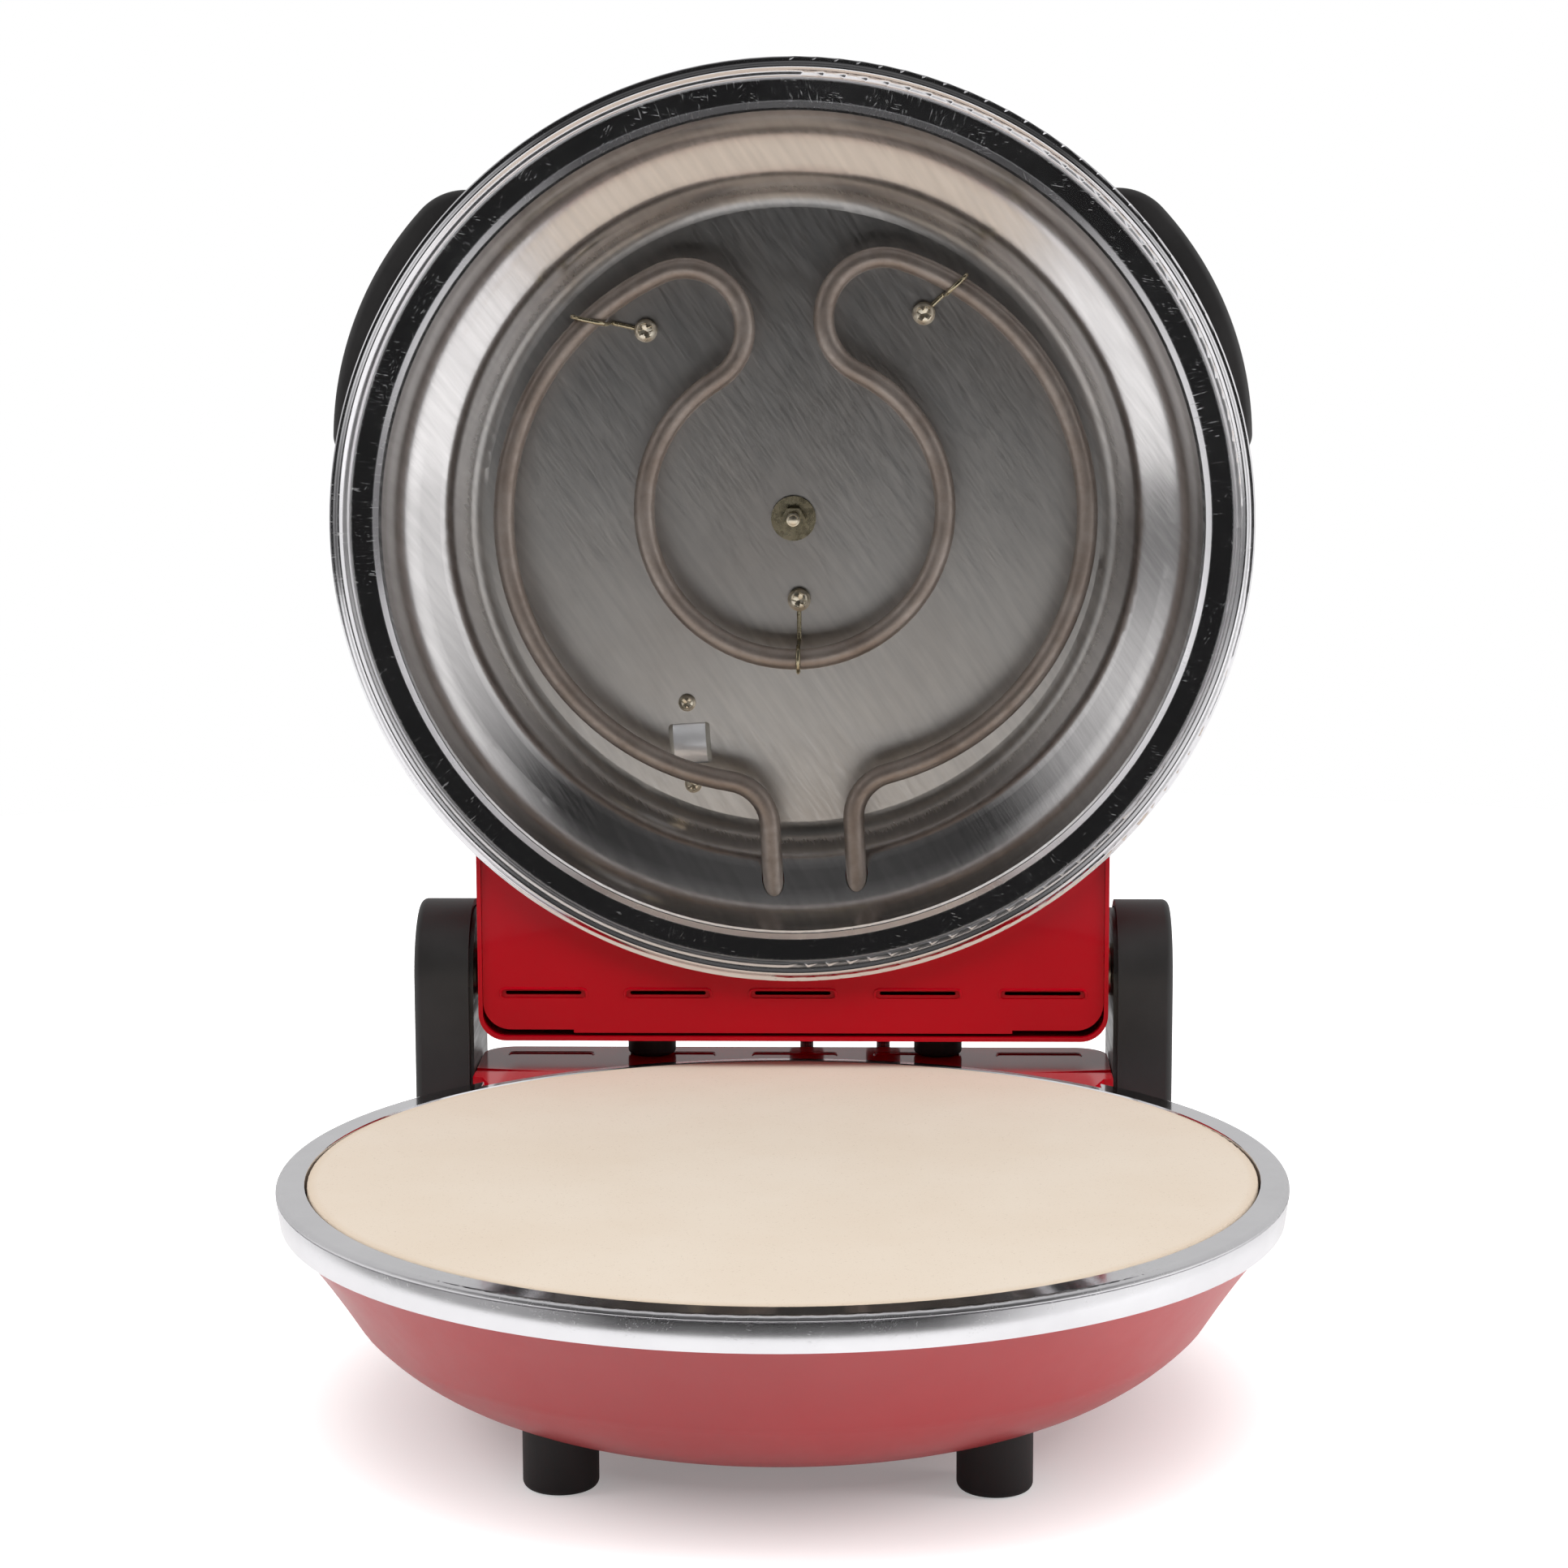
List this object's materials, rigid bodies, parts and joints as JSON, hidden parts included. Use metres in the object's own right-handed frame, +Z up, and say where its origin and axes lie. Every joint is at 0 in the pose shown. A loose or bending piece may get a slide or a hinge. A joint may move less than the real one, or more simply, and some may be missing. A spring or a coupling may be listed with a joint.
{
  "type": "electric pizza maker",
  "caption": "Round countertop pizza maker with a baking stone, a hinged lid shown open, ring heaters above and below, side handles, timer and thermostat dials",
  "frame": {"origin": "middle of the open maker's outline on the table", "axes": "+Z up, +Y towards the hinge at the back, +X to the right seen from the front"},
  "size_m": [0.3302, 0.4077, 0.4481],
  "materials": {
    "red_paint": "satin red enamel on pressed steel",
    "red_gloss": "gloss red enamel on folded steel",
    "bright_trim": "polished spun trim",
    "brushed_pan": "aluminised steel with straight diagonal brushing",
    "baking_stone": "fine fired clay",
    "heater_tube": "oxidised steel sheath",
    "bright_steel": "zinc plated steel",
    "hinge_steel": "black passivated steel plate",
    "black_plastic": "finely grained heat-proof plastic",
    "black_rubber": "matt rubber",
    "white_ceramic": "unglazed ceramic",
    "insulation": "mineral wool pad",
    "lamp_lens": "translucent amber lens",
    "cable_sleeve": "braided glass-fibre sleeve"
  },
  "bodies": {
    "base": {"base_bowl": "red_paint", "base_trim_ring": "bright_trim", "stone": "baking_stone", "pan_carrier": "bright_steel", "base_reflector": "brushed_pan", "lower_element": "heater_tube", "lower_element_pins": "bright_steel", "lower_element_bushes": "white_ceramic", "lower_clips": "bright_steel", "lower_clip_screws": "bright_steel", "feet": "black_rubber", "foot_screws": "bright_steel", "base_box": "red_gloss", "base_box_cover": "red_gloss", "base_link_glands": "black_plastic", "mains_gland": "black_plastic", "terminal_block": "white_ceramic", "hinge_plate_left": "hinge_steel", "hinge_plate_right": "hinge_steel", "hinge_cover_left": "black_plastic", "hinge_cover_right": "black_plastic", "hinge_caps": "black_plastic", "post_screws": "bright_steel", "link_cable_left": "cable_sleeve", "link_cable_right": "cable_sleeve"},
    "lid": {"lid_dome": "red_gloss", "lid_trim_ring": "bright_trim", "lid_reflector": "brushed_pan", "lid_insulation": "insulation", "upper_element": "heater_tube", "upper_element_pins": "bright_steel", "upper_element_bushes": "white_ceramic", "upper_clips": "bright_steel", "upper_clip_screws": "bright_steel", "centre_spacer": "bright_steel", "centre_stud": "bright_steel", "centre_washer": "bright_steel", "centre_nut": "bright_steel", "sensor_strip": "bright_steel", "sensor_screws": "bright_steel", "sensor_body": "white_ceramic", "lid_box": "red_gloss", "lid_box_cover": "red_gloss", "hinge_pins": "bright_steel", "hinge_nuts": "bright_steel", "hinge_washers": "bright_steel", "storage_feet": "black_rubber", "storage_foot_screws": "bright_steel", "lid_link_glands": "black_plastic", "pod_left": "black_plastic", "pod_right": "black_plastic", "pod_screws_left": "bright_steel", "pod_screws_right": "bright_steel", "timer_movement": "white_ceramic", "thermostat_movement": "white_ceramic", "pilot_lens": "lamp_lens"},
    "timer_dial": {"timer_spindle": "bright_steel", "timer_knob": "black_plastic"},
    "thermostat_dial": {"thermostat_spindle": "bright_steel", "thermostat_knob": "black_plastic"}
  },
  "joints": [
    {"name": "lid_hinge", "type": "hinge", "parent": "base", "child": "lid", "pos_m": [0, 0.136, 0.117], "axis": [1, 0, 0], "range_deg": [0, 90], "deforming": ["link_cable_left", "link_cable_right"]},
    {"name": "timer_turn", "type": "hinge", "parent": "lid", "child": "timer_dial", "pos_m": [-0.13657, 0.1747, 0.35715], "axis": [0, 1, 0], "range_deg": [0, 300]},
    {"name": "thermostat_turn", "type": "hinge", "parent": "lid", "child": "thermostat_dial", "pos_m": [0.13657, 0.1747, 0.35715], "axis": [0, 1, 0], "range_deg": [0, 270]}
  ]
}
